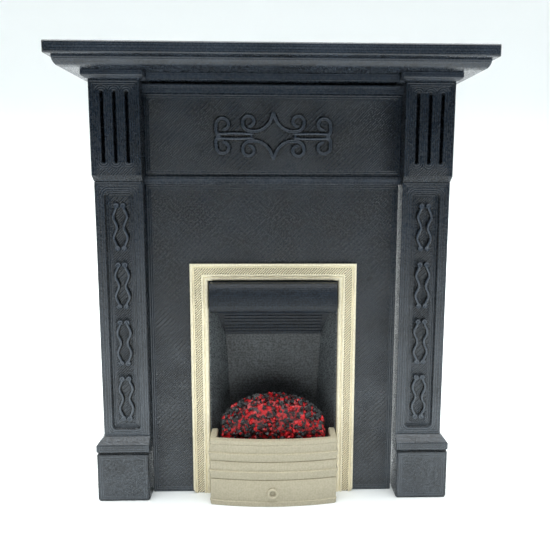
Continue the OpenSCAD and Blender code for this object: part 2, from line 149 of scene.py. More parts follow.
FLOOR_NEAR = -420
FLOOR_FAR = 900
FLOOR_BEND = 260
FLOOR_TOP = 1500
FLOOR_HALF = 2200
FLOOR_ARC = 16


def add_floor():
    """A white sheet: flat under the object, turned up into a backdrop far behind it."""
    arc = [math.radians(90 * i / FLOOR_ARC) for i in range(FLOOR_ARC + 1)]
    line = [(FLOOR_NEAR, 0)]
    line += [(FLOOR_FAR + FLOOR_BEND * math.sin(a), FLOOR_BEND * (1 - math.cos(a))) for a in arc]
    line += [(FLOOR_FAR + FLOOR_BEND, FLOOR_TOP)]
    verts = [(x * MM, y * MM, z * MM) for y, z in line for x in (-FLOOR_HALF, FLOOR_HALF)]
    faces = [(2 * i, 2 * i + 1, 2 * i + 3, 2 * i + 2) for i in range(len(line) - 1)]
    mesh = bpy.data.meshes.new("floor")
    mesh.from_pydata(verts, [], faces)
    mesh.shade_smooth()
    floor = link(bpy.data.objects.new("floor", mesh))
    paper = Shader("paper")
    paper.set("Base Color", PAPER)
    paper.set("Roughness", PAPER_ROUGHNESS)
    mesh.materials.append(paper.material)


# ---- Materials ----

# Each colour pair is the joint between strands, then the strand's top
BLACK_DARK = (0.0006, 0.0008, 0.0012, 1)
BLACK_LIGHT = (0.014, 0.022, 0.034, 1)
# The tops of the finely printed pieces, where their painted highlights reach, and the painted light
# from the floor that every black top turns to near the floor
BLACK_EDGE = (0.034, 0.045, 0.062, 1)
BLACK_FLOOR_LIT = (0.085, 0.100, 0.118, 1)
# Height in millimetres under which the black is painted lighter, as light from the white floor
FLOOR_LIT_BELOW = 70.0
BLACK_IOR = 1.5
PALE_DARK = (0.30, 0.26, 0.18, 1)
PALE_LIGHT = (0.95, 0.87, 0.65, 1)
PLANK_DARK = (0.42, 0.375, 0.27, 1)
PLANK_LIGHT = (0.50, 0.45, 0.33, 1)
LINING_DARK = (0.003, 0.0035, 0.004, 1)
LINING_LIGHT = (0.07, 0.08, 0.086, 1)
# The cheeks' lighter colour, paler than the rest of the firebox black: painted light that falls on
# the cheeks
CHEEK_LIGHT = (0.17, 0.19, 0.20, 1)
EMBER_DARK = (0.02, 0.005, 0.006, 1)
EMBER_LIGHT = (0.55, 0.010, 0.016, 1)
COAL_DARK = (0.008, 0.009, 0.010, 1)
COAL_TOP_GREY = (0.075, 0.08, 0.085, 1)


class Tree:
    """A node tree, with short calls that add nodes and return their output."""

    def __init__(self, tree):
        self.tree = tree

    def feed(self, socket, value):
        if isinstance(value, bpy.types.NodeSocket):
            self.tree.links.new(value, socket)
        else:
            socket.default_value = value

    def node(self, kind, values=(), **settings):
        made = self.tree.nodes.new(kind)
        for key, value in settings.items():
            setattr(made, key, value)
        for key, value in dict(values).items():
            self.feed(made.inputs[key], value)
        return made

    def math(self, operation, *values, clamp=False):
        made = self.node("ShaderNodeMath", operation=operation, use_clamp=clamp)
        for socket, value in zip(made.inputs, values):
            self.feed(socket, value)
        return made.outputs[0]

    def split(self, vector):
        parts = self.node("ShaderNodeSeparateXYZ", {0: vector}).outputs
        return parts[0], parts[1], parts[2]

    def remap(self, value, low, high, to_low=0.0, to_high=1.0, smooth=True):
        kind = "SMOOTHSTEP" if smooth else "LINEAR"
        values = {0: value, 1: low, 2: high, 3: to_low, 4: to_high}
        return self.node("ShaderNodeMapRange", values, interpolation_type=kind).outputs[0]

    def wave(self, distance, pitch, phase=0.0):
        """A ridge pattern from 0 to 1 that repeats every pitch millimetres of distance."""
        turns = self.math("MULTIPLY_ADD", distance, 2 * math.pi / pitch, phase)
        return self.math("MULTIPLY_ADD", self.math("COSINE", turns), 0.5, 0.5)

    def blend(self, factor, a, b):
        """a where the factor is 0 and b where it is 1."""
        values = {0: factor, 2: a, 3: b}
        return self.node("ShaderNodeMix", values, data_type="FLOAT").outputs[0]

    def colour(self, factor, a, b):
        """The colour a where the factor is 0 and b where it is 1."""
        made = self.node("ShaderNodeMix", data_type="RGBA")
        self.feed(made.inputs[0], factor)
        self.feed(made.inputs[6], a)
        self.feed(made.inputs[7], b)
        return made.outputs[2]


class Shader(Tree):
    """A principled material."""

    def __init__(self, name):
        self.material = bpy.data.materials.new(name)
        self.material.use_nodes = True
        super().__init__(self.material.node_tree)
        self.principled = self.tree.nodes["Principled BSDF"]

    def set(self, name, value):
        self.feed(self.principled.inputs[name], value)

    def place(self):
        """The surface point in millimetres, as its vector and its x, y and z."""
        point = self.node("ShaderNodeTexCoord").outputs["Object"]
        scaled = self.node("ShaderNodeVectorMath", {0: point, "Scale": 1 / MM}, operation="SCALE")
        return scaled.outputs[0], *self.split(scaled.outputs[0])

    def attribute(self, name):
        return self.node("ShaderNodeAttribute", attribute_name=name).outputs

    def noise(self, vector, size, detail=2.0):
        """Noise from 0 to 1 whose blobs are about size millimetres across."""
        values = {"Vector": vector, "Scale": 1 / size, "Detail": detail}
        return self.node("ShaderNodeTexNoise", values).outputs[0]

    def bump(self, height, depth):
        """Raises the surface by depth millimetres where the height is 1."""
        values = {"Height": height, "Distance": depth * MM, "Strength": 1.0}
        self.set("Normal", self.node("ShaderNodeBump", values).outputs[0])


# Widths that a printer's nozzle and layers leave, in millimetres, and the loops round each edge
LINE_PITCH = 0.43
LAYER = 0.2
LOOP_PITCH = LINE_PITCH * 1.15
LOOPS = 3
# How far the relief value paints a highlight on a raised top and painted shade in the joint beside
# it
RELIEF_SHADE = 0.8
# Sizes of the blobs of noise: patches of paired lines, the lines' wander, and tone over a face
PATCH_SIZE = 7.0
WANDER_SIZE = 3.0
WANDER = 2.6
TONE_SIZE = 9.0
# The part of the grain's noise that is spread out over 0 to 1
GRAIN_RANGE = (0.34, 0.66)


def front_mask(shader):
    """1 on faces square to the front or back, and 0 on the sides of the layers."""
    normal = shader.node("ShaderNodeTexCoord").outputs["Normal"]
    across = shader.math("ABSOLUTE", shader.split(normal)[1])
    return shader.remap(across, 0.86, 0.95)


def edge_distance(shader):
    """Distance in millimetres from the nearest edge of the printed face, or of its cut-outs."""
    near = shader.split(shader.attribute("near")["Vector"])
    far = shader.split(shader.attribute("far")["Vector"])
    sides = shader.math("MINIMUM", near[0], far[0])
    ends = shader.math("MINIMUM", near[2], far[2])
    outer = shader.math("MINIMUM", sides, ends)
    hole = shader.split(shader.attribute("hole")["Vector"])
    half = shader.split(shader.attribute("hole_half")["Vector"])
    step = shader.attribute("hole_step")["Fac"]
    count = shader.math("ROUND", shader.math("DIVIDE", hole[0], step))
    count = shader.math("MINIMUM", shader.math("MAXIMUM", count, -1.0), 1.0)
    x = shader.math("SUBTRACT", hole[0], shader.math("MULTIPLY", count, step))
    radius = half[1]
    gaps = []
    for value, size in ((x, half[0]), (hole[2], half[2])):
        reach = shader.math("SUBTRACT", shader.math("ABSOLUTE", value), size)
        gaps.append(shader.math("ADD", reach, radius))
    corner = [shader.math("MAXIMUM", gap, 0.0) for gap in gaps]
    squares = shader.math("ADD", *[shader.math("MULTIPLY", c, c) for c in corner])
    outside = shader.math("SQRT", squares)
    inside = shader.math("MINIMUM", shader.math("MAXIMUM", *gaps), 0.0)
    ring = shader.math("SUBTRACT", shader.math("ADD", outside, inside), radius)
    return shader.math("MINIMUM", outer, shader.math("ABSOLUTE", ring))


def printed(name, infill=1.0, weave=0.0, roughness=0.26, depth=0.10, light=BLACK_LIGHT):
    """Extruded black plastic: slanted fill lines inside a few loops round each edge of a face, and
    layers on its sides. infill is how plain the lines are, and weave how far they cross."""
    shader = Shader(name)
    point, x, y, z = shader.place()
    slant = shader.math("MULTIPLY", shader.math("SUBTRACT", z, x), math.sqrt(0.5))
    counter = shader.math("MULTIPLY", shader.math("ADD", z, x), math.sqrt(0.5))
    wobble = shader.math("MULTIPLY", shader.noise(point, WANDER_SIZE), WANDER)
    patch = shader.remap(shader.noise(point, PATCH_SIZE, 1.0), 0.40, 0.62)
    fine = shader.wave(slant, LINE_PITCH, wobble)
    pairs = shader.wave(slant, 2 * LINE_PITCH, wobble)
    cross = shader.wave(counter, 2 * LINE_PITCH, wobble)
    fill = shader.blend(shader.math("MULTIPLY", patch, 0.5), fine, pairs)
    fill = shader.blend(weave, fill, shader.math("MULTIPLY", fill, cross))
    grain = shader.remap(shader.noise(point, 0.42, 3.0), *GRAIN_RANGE)
    fill = shader.blend(0.25, fill, grain)
    fill = shader.blend(infill, shader.math("MULTIPLY_ADD", grain, 0.4, 0.35), fill)
    edge = edge_distance(shader)
    loop = shader.wave(edge, LOOP_PITCH, math.pi)
    loop = shader.math("MULTIPLY_ADD", shader.blend(0.3, loop, grain), 0.8, 0.28)
    inner = shader.remap(edge, LINE_PITCH * (LOOPS - 0.1), LINE_PITCH * (LOOPS + 0.1))
    face = shader.blend(inner, loop, fill)
    layers = shader.wave(y, LAYER, shader.math("MULTIPLY", wobble, 0.3))
    layers = shader.blend(0.5, layers, grain)
    height = shader.blend(front_mask(shader), layers, face)
    tone = shader.math("MULTIPLY_ADD", shader.noise(point, TONE_SIZE), 0.8, -0.42)
    # Painted highlight on raised tops and painted shade at their feet, from the relief value
    relief = shader.math("MULTIPLY_ADD", shader.attribute("relief")["Fac"], RELIEF_SHADE, tone)
    mix = shader.math("ADD", height, relief, clamp=True)
    # Painted light from the floor: lower down, the lighter colour turns towards a paler painted
    # floor-lit black
    low = shader.remap(z, FLOOR_LIT_BELOW, 0.0)
    floor_lit_colour = shader.colour(low, light, BLACK_FLOOR_LIT)
    shader.set("Base Color", shader.colour(mix, BLACK_DARK, floor_lit_colour))
    gloss = shader.remap(grain, 0.0, 1.0, roughness + 0.12, roughness - 0.1, smooth=False)
    shader.set("Roughness", gloss)
    shader.set("IOR", BLACK_IOR)
    shader.bump(height, depth)
    return shader.material


def moulded(name, dark, light, roughness, pitch, depth, strand, level=False, ior=1.46, shade=1.0):
    """Fine level or upright strands on a part that has no flat printed face. strand is how plain
    they are beside the grain, and shade is how far they darken the colour."""
    shader = Shader(name)
    point, x, y, z = shader.place()
    wobble = shader.math("MULTIPLY", shader.noise(point, 4.0), 2.0)
    strands = shader.wave(z if level else x, pitch, wobble)
    grain = shader.remap(shader.noise(point, 0.4, 3.0), *GRAIN_RANGE)
    height = shader.blend(strand, grain, strands)
    tone = shader.math("MULTIPLY_ADD", shader.noise(point, TONE_SIZE), 0.6, -0.3)
    # Painted highlight on raised tops and painted shade at their feet, from the relief value
    relief = shader.math("MULTIPLY_ADD", shader.attribute("relief")["Fac"], RELIEF_SHADE, tone)
    shaded = shader.math("MULTIPLY_ADD", height, shade, 0.5 - shade / 2)
    mix = shader.math("ADD", shaded, relief, clamp=True)
    shader.set("Base Color", shader.colour(mix, dark, light))
    shader.set("Roughness", roughness)
    shader.set("IOR", ior)
    shader.bump(height, depth)
    return shader.material


def glowing_red():
    """Matte red paint over the rough heap, darker in random patches."""
    shader = Shader("ember_red")
    point = shader.place()[0]
    patch = shader.remap(shader.noise(point, 1.1, 3.0), 0.42, 0.60)
    shader.set("Base Color", shader.colour(patch, EMBER_DARK, EMBER_LIGHT))
    shader.set("Roughness", 0.42)
    shader.bump(shader.noise(point, 0.35, 3.0), 0.1)
    return shader.material


def charcoal():
    """Black granules, greyer in patches on their upward-facing tops."""
    shader = Shader("coal_grey")
    point = shader.place()[0]
    normal = shader.node("ShaderNodeTexCoord").outputs["Normal"]
    up = shader.remap(shader.split(normal)[2], -0.2, 0.9)
    top_grey = shader.math("MULTIPLY", up, shader.remap(shader.noise(point, 0.6, 3.0), 0.35, 0.7))
    shader.set("Base Color", shader.colour(top_grey, COAL_DARK, COAL_TOP_GREY))
    shader.set("Roughness", 0.55)
    shader.bump(shader.noise(point, 0.25, 3.0), 0.08)
    return shader.material


# ---- Meshes ----


def finish_piece(name, bm, node, material, sharp=38, weighted=False):
    """Makes a piece from a bmesh in millimetres, which stands for a CAD node and rides with it."""
    bmesh.ops.recalc_face_normals(bm, faces=bm.faces)
    bmesh.ops.scale(bm, vec=(MM, MM, MM), verts=bm.verts)
    mesh = bpy.data.meshes.new(name)
    bm.to_mesh(mesh)
    bm.free()
    mesh.shade_smooth()
    mesh.set_sharp_from_angle(angle=math.radians(sharp))
    mesh.materials.append(material)
    piece = link(bpy.data.objects.new(name, mesh))
    if weighted:
        piece.modifiers.new("flat_faces", "WEIGHTED_NORMAL").keep_sharp = True
    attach(piece, frame["nodes"][node]["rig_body"])
    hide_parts(node)
    return piece


def node_bmesh(node):
    """The CAD node's mesh in millimetres, welded, with flat areas joined."""
    bm = bmesh.new()
    bm.from_mesh(frame["nodes"][node].data)
    bmesh.ops.scale(bm, vec=(1 / MM,) * 3, verts=bm.verts)
    bmesh.ops.remove_doubles(bm, verts=bm.verts, dist=0.002)
    bmesh.ops.dissolve_limit(
        bm, angle_limit=math.radians(1), verts=bm.verts, edges=bm.edges
    )
    return bm


def soften(bm, width, sharp=30, segments=3):
    """Rounds the edges of a bmesh in millimetres that are sharper than sharp degrees."""
    edges = [
        e for e in bm.edges
        if len(e.link_faces) == 2 and e.calc_face_angle(0) > math.radians(sharp)
    ]
    bmesh.ops.bevel(
        bm, geom=edges, offset=width, segments=segments, affect="EDGES", clamp_overlap=True
    )


NO_HOLE = {"centre": (1000, 1000), "half": (1, 1), "radius": 1, "step": 5000}


def mark_print(piece, lo, hi, hole=None):
    """Stores how far each point is from the printed face's edges and from its cut-outs."""
    hole = {**NO_HOLE, **(hole or {})}
    mesh = piece.data
    cx, cz = hole["centre"]
    hx, hz = hole["half"]
    columns = {"near": [], "far": [], "hole": [], "hole_half": []}
    for vertex in mesh.vertices:
        place = vertex.co / MM
        columns["near"] += list(place - lo)
        columns["far"] += list(hi - place)
        columns["hole"] += [place.x - cx, 0, place.z - cz]
        columns["hole_half"] += [hx, hole["radius"], hz]
    for name, values in columns.items():
        mesh.attributes.new(name, "FLOAT_VECTOR", "POINT").data.foreach_set("vector", values)
    steps = mesh.attributes.new("hole_step", "FLOAT", "POINT")
    steps.data.foreach_set("value", [hole["step"]] * len(mesh.vertices))


def printed_copy(node, material, width=0.14, hole=None, sharp=30):
    """The CAD node with the small rounds that a print leaves along its edges."""
    bm = node_bmesh(node)
    soften(bm, width, sharp)
    piece = finish_piece("printed_" + node, bm, node, material, weighted=True)
    mark_print(piece, *span(node), hole)
    return piece


def bridge(bm, rings):
    """Joins each ring of points to the next, and closes both ends."""
    for one, two in zip(rings, rings[1:]):
        for i in range(len(one)):
            j = (i + 1) % len(one)
            bm.faces.new((one[i], one[j], two[j], two[i]))
    bm.faces.new(rings[0])
    bm.faces.new(rings[-1])


def prism_x(bm, outline, x0, x1):
    """A closed prism along X from a [y, z] outline."""
    bridge(bm, [[bm.verts.new((x, y, z)) for y, z in outline] for x in (x0, x1)])


STEP_LIP = 0.09


def terraces(depth_at, z0, z1, steps):
    """Points [y, z] up a face that is built of level steps: depth_at(t) is y at t from 0 to 1."""
    line = []
    for i in range(steps):
        low, high = i / steps, (i + 1) / steps
        y = depth_at((low + high) / 2)
        lip = (z1 - z0) / steps * STEP_LIP
        line += [(y, z0 + (z1 - z0) * low + lip), (y, z0 + (z1 - z0) * high - lip)]
    return line


def relief_layer(bm):
    """A value for each point that paints light and shade: 1 for a painted highlight on a raised
    top, -1 for painted shade in the joint beside it, and 0 elsewhere.
    """
    layers = bm.verts.layers.float
    return layers.get("relief") or layers.new("relief")


def relief_value(drop):
    """The painted light and shade at a share of the way from a raised top, where it is a highlight,
    down to its foot, where it is shade.
    """
    return max(-1.0, 1 - 4 * drop)


def rounded_end(place, turn, way, width):
    """Stations outwards round one end of a bead: place, direction and share of the width."""
    leans = [math.radians(a) for a in (30, 60, 85)]
    return [(place + turn * way * math.sin(a) * width / 2, turn, math.cos(a)) for a in leans]


def sweep(bm, path, outline, face_y, width):
    """A bead along an [x, z] path on a wall at face_y. outline holds [across, out] points, with
    across from -0.5 to 0.5 of the width. Both ends are rounded."""
    places = [Vector(p) for p in path]
    last = len(places) - 1
    turns = [
        (places[min(i + 1, last)] - places[max(i - 1, 0)]).normalized() for i in range(last + 1)
    ]
    stations = rounded_end(places[0], turns[0], -1, width)[::-1]
    stations += [(p, t, 1.0) for p, t in zip(places, turns)]
    stations += rounded_end(places[last], turns[last], 1, width)
    relief = relief_layer(bm)
    top = max(o for a, o in outline)
    rings = []
    for place, turn, share in stations:
        side = Vector((-turn.y, turn.x)) * width * share
        out = 0.35 + 0.65 * share
        ring = []
        for a, o in outline:
            y = face_y - o * (out if o > 0 else 1)
            vert = bm.verts.new((place.x + side.x * a, y, place.y + side.y * a))
            # Painted highlight on the bead's top and painted shade down at its foot
            vert[relief] = relief_value(1 - o / top)
            ring.append(vert)
        rings.append(ring)
    bridge(bm, rings)


# A bead's cross-section: half of its humps' width, its low skirt, and how far it is sunk
HUMPS_HALF = 0.31
BEAD_SKIRT = [(0.5, 0.03), (0.38, 0.05)]
BEAD_SINK = 0.15


def bead_outline(height, humps=1):
    """A bead's cross-section with one or two humps on a low skirt, sunk a little into the wall."""
    foot = [(0.5, -BEAD_SINK)] + BEAD_SKIRT + [(HUMPS_HALF, height * 0.5)]
    line = [(-across, out) for across, out in foot]
    for hump in range(humps):
        for a in (150, 120, 90, 60, 30):
            lean = math.radians(a)
            across = -HUMPS_HALF + 2 * HUMPS_HALF * ((hump + 0.5) + 0.5 * math.cos(lean)) / humps
            line.append((across, height * (0.5 + 0.5 * math.sin(lean))))
    return line + foot[::-1]


def lathe(bm, profile, centre, segments):
    """A turned shape about the Y axis through centre. profile holds [radius, y] points."""
    relief = relief_layer(bm)
    front = min(y for radius, y in profile)
    depth = max(y for radius, y in profile) - front
    rings = []
    for radius, y in profile:
        ring = []
        for i in range(segments):
            a = 2 * math.pi * i / segments
            vert = bm.verts.new((centre[0] + radius * math.cos(a), y,
                                 centre[1] + radius * math.sin(a)))
            # Painted highlight at the front of the turned shape and painted shade at its back
            vert[relief] = relief_value((y - front) / depth)
            ring.append(vert)
        rings.append(ring)
    bridge(bm, rings)


# ---- Mantel ----

PANEL_W = 6.5
PANEL_FOOT = 1.6
PANEL_HEAD = 2.2
PANEL_R = 1.1
PANEL_SUNK = 0.9
NECK_H = 1.3
FLUTE_W = 0.8
FLUTE_PITCH = 2.72
FLUTE_FOOT = 3.1
FLUTE_HEAD = 2.65


def shaft_hole(side):
    """Where a shaft's sunk panel is, as mark_print takes it."""
    lo, hi = span(f"{side}_shaft")
    z0, z1 = lo.z + PANEL_FOOT, hi.z - PANEL_HEAD
    return {
        "centre": ((lo.x + hi.x) / 2, (z0 + z1) / 2),
        "half": (PANEL_W / 2, (z1 - z0) / 2),
        "radius": PANEL_R,
    }


def capital_hole(side):
    """Where a capital's flutes are."""
    lo, hi = span(f"{side}_capital")
    z0 = lo.z + NECK_H + FLUTE_FOOT
    z1 = hi.z - FLUTE_HEAD
    return {
        "centre": ((lo.x + hi.x) / 2, (z0 + z1) / 2),
        "half": (FLUTE_W / 2, (z1 - z0 + FLUTE_W) / 2),
        "radius": FLUTE_W / 2,
        "step": FLUTE_PITCH,
    }


def add_pilaster(side, black, smooth):
    """One side's boards from the abacus down to the plinth, and the appliques on its shaft."""
    printed_copy(f"{side}_abacus", smooth, 0.12)
    printed_copy(f"{side}_capital", black, 0.12, capital_hole(side))
    printed_copy(f"{side}_shaft", black, 0.14, shaft_hole(side))
    printed_copy(f"{side}_plinth_cap", smooth, 0.1)
    printed_copy(f"{side}_plinth", smooth, 0.3)
    add_appliques(side, smooth)


APPLIQUE_N = 4
APPLIQUE_PITCH = 13.5
APPLIQUE_H = 11.0
RING_R = 0.65
STRAND_W = 1.1
WAIST_X = 0.77
BULGE_X = 1.55
STRAND_POINTS = 28


def ring_profile(face_y, height):
    """A small ring with a dished middle, as lathe takes it."""
    top = face_y - height
    return [(RING_R, face_y + 0.1), (RING_R, face_y - height * 0.7), (RING_R * 0.82, top),
            (RING_R * 0.55, top), (RING_R * 0.25, face_y - height * 0.65)]


def add_appliques(side, black):
    """Pairs of wavy strands between small rings, planted in the shaft's sunk panel."""
    node = f"{side}_appliques"
    lo, hi = span(node)
    face_y = span(f"{side}_shaft")[0].y + PANEL_SUNK
    height = face_y - lo.y
    mid_x = (lo.x + hi.x) / 2
    reach = APPLIQUE_H / 2 - RING_R
    bm = bmesh.new()
    for n in range(APPLIQUE_N):
        mid_z = (lo.z + hi.z) / 2 + (n - (APPLIQUE_N - 1) / 2) * APPLIQUE_PITCH
        for sign in (-1, 1):
            path = []
            for i in range(STRAND_POINTS + 1):
                t = i / STRAND_POINTS
                swell = (1 - math.cos(4 * math.pi * t)) / 2
                x = WAIST_X + (BULGE_X - WAIST_X) * swell
                path.append((mid_x + sign * x, mid_z + reach * (1 - 2 * t)))
            sweep(bm, path, bead_outline(height), face_y, STRAND_W)
            for z in (-reach, reach):
                lathe(bm, ring_profile(face_y, height), (mid_x + sign * WAIST_X, mid_z + z), 20)
    piece = finish_piece(f"planted_{node}", bm, node, black, sharp=60)
    mark_print(piece, lo, hi)


# The scrollwork's sizes, and the places of its upper right quarter from its middle, as [x, z]
SCROLL_W = 1.3
SPIKE = [(0.12, 4.85), (0.5, 3.85), (1.0, 2.87), (2.05, 1.85), (3.2, 1.25), (4.2, 1.06)]
INNER_VOLUTE = Vector((5.55, 3.2))
OUTER_VOLUTE = Vector((11.4, 2.5))
# Each volute's angle at its mouth, then its radius at the mouth, at the side and at the end
INNER_ROLL = (-106, 2.15, 1.42, 1.02)
OUTER_ROLL = (-66, 2.62, 1.6, 1.08)
VOLUTE_SIDE = -12
VOLUTE_END = 250
BAR_Z = 0.52
BAR_W = 1.1
BAR_X = (5.0, 12.5)


def spiral(centre, a0, a1, r0, r1, count):
    """Points round centre from angle a0 to a1, in degrees, as the radius goes from r0 to r1."""
    points = []
    for i in range(count + 1):
        t = i / count
        a = math.radians(a0 + (a1 - a0) * t)
        r = r0 + (r1 - r0) * t
        points.append((centre.x + r * math.cos(a), centre.y + r * math.sin(a)))
    return points


def volute(centre, a0, r0, r_side, r_end):
    """Points of a volute that opens out from its rolled end to angle a0, at radius r0."""
    mouth = spiral(centre, a0, VOLUTE_SIDE, r0, r_side, 10)
    return mouth + spiral(centre, 0, VOLUTE_END, r_side, r_end, 30)


def smooth_path(points, count):
    """A Catmull-Rom curve through a few points."""
    places = [Vector(p) for p in points]
    places = [2 * places[0] - places[1]] + places + [2 * places[-1] - places[-2]]
    line = []
    for i in range(1, len(places) - 2):
        a, b, c, d = places[i - 1:i + 3]
        for k in range(count):
            t = k / count
            line.append(0.5 * (2 * b + (c - a) * t + (2 * a - 5 * b + 4 * c - d) * t * t
                               + (3 * b - a - 3 * c + d) * t ** 3))
    return [tuple(p) for p in line + [places[-2]]]


def add_scrollwork(black):
    """Four quarters of a spike that rolls into a volute, a bar, and an outer volute."""
    lo, hi = span("frieze_scrollwork")
    centre = Vector(((lo.x + hi.x) / 2, (lo.z + hi.z) / 2))
    height = BREAST_Y - lo.y
    inner = volute(INNER_VOLUTE, *INNER_ROLL)
    bowed = [(BAR_X[0], BAR_Z - 0.05), (sum(BAR_X) / 2, BAR_Z + 0.08), (BAR_X[1], BAR_Z - 0.05)]
    strands = [
        (smooth_path(SPIKE + inner[:1], 5)[:-1] + inner, 2, SCROLL_W),
        (smooth_path(bowed, 8), 1, BAR_W),
        (volute(OUTER_VOLUTE, *OUTER_ROLL), 2, SCROLL_W),
    ]
    bm = bmesh.new()
    for mx in (-1, 1):
        for mz in (-1, 1):
            for path, humps, width in strands:
                placed = [(centre.x + mx * px, centre.y + mz * pz) for px, pz in path]
                sweep(bm, placed, bead_outline(height, humps), BREAST_Y, width)
        for x in BAR_X:
            tie = [(centre.x + mx * x, centre.y + z) for z in (-BAR_Z, 0, BAR_Z)]
            sweep(bm, tie, bead_outline(height * 0.9), BREAST_Y, BAR_W)
    piece = finish_piece("frieze_scrolls", bm, "frieze_scrollwork", black, sharp=60)
    mark_print(piece, lo, hi)


RAIL_STEPS = 7
CORNICE_STEPS = 5
# The cornice's top lip, and the dark slot above it
CORNICE_LIP = 0.4
SLOT_H = 0.2
SLOT_DEPTH = 1.5
LAYER_ROUND = 0.04


def add_rail(black):
    """The half-round rail, built of level layers."""
    lo, hi = span("frieze_rail")
    radius = (hi.z - lo.z) / 2
    line = terraces(lambda t: BREAST_Y - radius * math.sqrt(max(0, 1 - (2 * t - 1) ** 2)),
                    lo.z, hi.z, RAIL_STEPS)
    bm = bmesh.new()
    prism_x(bm, [(hi.y, lo.z)] + line + [(hi.y, hi.z)], lo.x, hi.x)
    soften(bm, LAYER_ROUND, segments=1)
    piece = finish_piece("layered_rail", bm, "frieze_rail", black, weighted=True)
    mark_print(piece, lo, hi)


def add_cornice(black):
    """The cove under the fascia, built of level layers."""
    lo, hi = span("frieze_cornice")
    reach = BREAST_Y - lo.y
    lip_z, slot_z, slot_y = hi.z - CORNICE_LIP, hi.z - SLOT_H, BREAST_Y + SLOT_DEPTH
    line = terraces(lambda t: BREAST_Y - reach * math.sin(math.acos(1 - t)),
                    lo.z, lip_z, CORNICE_STEPS)
    line += [(BREAST_Y, lip_z), (BREAST_Y, slot_z), (slot_y, slot_z), (slot_y, hi.z)]
    bm = bmesh.new()
    prism_x(bm, [(hi.y, lo.z)] + line + [(hi.y, hi.z)], lo.x, hi.x)
    soften(bm, LAYER_ROUND, segments=1)
    piece = finish_piece("layered_cornice", bm, "frieze_cornice", black,
                         weighted=True)
    mark_print(piece, lo, hi)


def add_mantel():
    """All the black surround."""
    black = printed("mantel_black")
    smooth = printed("mantel_black_fine", infill=0.35, roughness=0.25, depth=0.03, light=BLACK_EDGE)
    woven = printed("mantel_black_woven", weave=0.5)
    printed_copy("mantel_shelf", smooth, 0.05, sharp=50)
    printed_copy("bed_moulding", smooth, 0.06)
    for side in ("left", "right"):
        add_pilaster(side, black, smooth)
    printed_copy("frieze_fascia", smooth, 0.12)
    printed_copy("frieze_panel", black, 0.05)
    printed_copy("breast_panel", woven, 0.1)
    add_cornice(smooth)
    add_rail(smooth)
    add_scrollwork(smooth)


# ---- Fire insert ----

# The frame's opening, which is larger than the canopy by a gap at each side and above
CANOPY_GAP = 0.3
CANOPY_TOP_GAP = 0.1
FIRE_HALF = CANOPY[1].x + CANOPY_GAP

# The trim's section from its opening outwards: distance and height, in millimetres
TRIM_SECTION = [
    (0.0, 0.5), (0.12, 0.8), (0.32, 1.0), (0.55, 1.03), (0.78, 0.96), (0.95, 0.7), (1.05, 0.7),
    (1.14, 0.88), (1.3, 0.96), (1.5, 0.96), (1.64, 0.88), (1.7, 0.55), (3.15, 0.55), (3.2, 0.86),
    (3.28, 0.94), (3.4, 0.94), (3.5, 0.7), (3.6, 0.7), (3.7, 0.98), (3.9, 1.1), (4.1, 1.06),
    (4.28, 0.9), (4.35, 0.55),
]
TRIM_BACK = -0.15
TRIM_FOOT_R = 0.8
# Points lower than this are in the sunk part of the section, which gets painted shade, and the
# higher ones a painted highlight
TRIM_SUNK = 0.6
BAND = (1.75, 3.1)
ROPE_PITCH = 0.42
ROPE_FOOT = 0.2
ROPE_OUTLINE = [(-0.5, 0.5), (-0.32, 0.76), (0, 0.86), (0.32, 0.76), (0.5, 0.5)]


def add_trim(pale):
    """The moulded frame: one section carried up a leg, over the head and down the other leg."""
    lo, hi = TRIM
    half_out = hi.x
    half_in = FIRE_HALF
    leg = half_out - half_in
    top_in = CANOPY[1].z + CANOPY_TOP_GAP
    head = hi.z - top_in
    section = [(d / leg, p) for d, p in TRIM_SECTION]
    outline = [(0, TRIM_BACK)] + section + [(1, TRIM_BACK)]

    def foot_z(a):
        inside = max(0.0, a * leg - (leg - TRIM_FOOT_R))
        return lo.z + TRIM_FOOT_R - math.sqrt(TRIM_FOOT_R ** 2 - min(inside, TRIM_FOOT_R) ** 2)

    def station(sign, top):
        ring = []
        for a, p in outline:
            z = top_in + a * head if top else foot_z(a)
            vert = bm.verts.new((sign * (half_in + a * leg), BREAST_Y - p, z))
            # Painted shade in the sunk band and a painted highlight on the raised parts
            vert[relief] = -1.0 if p < TRIM_SUNK else 0.5
            ring.append(vert)
        return ring

    bm = bmesh.new()
    relief = relief_layer(bm)
    bridge(bm, [station(-1, False), station(-1, True), station(1, True), station(1, False)])
    inner, outer = [half_in + edge for edge in BAND]
    z0, z1 = [top_in + edge * head / leg for edge in BAND]
    add_rope(bm, -outer, -inner, ROPE_FOOT, z1)
    add_rope(bm, -inner, inner, z0, z1)
    add_rope(bm, inner, outer, ROPE_FOOT, z1)
    finish_piece("moulded_trim", bm, "trim_frame", pale, sharp=30)


def add_rope(bm, x0, x1, z0, z1):
    """Slanted ridges side by side over a box of the sunk band, cut off square at its edges."""
    rise = z0 - (x1 - x0)
    while rise < z1:
        near, far = max(0.0, z0 - rise), min(x1 - x0, z1 - rise)
        if far - near > ROPE_PITCH / 2:
            rope_bar(bm, (x0 + near, rise + near), (x0 + far, rise + far))
        rise += ROPE_PITCH * math.sqrt(2)


def rope_bar(bm, start, end):
    """One low rounded ridge."""
    middle = ((start[0] + end[0]) / 2, (start[1] + end[1]) / 2)
    sweep(bm, [start, middle, end], ROPE_OUTLINE, BREAST_Y, ROPE_PITCH * 0.78)


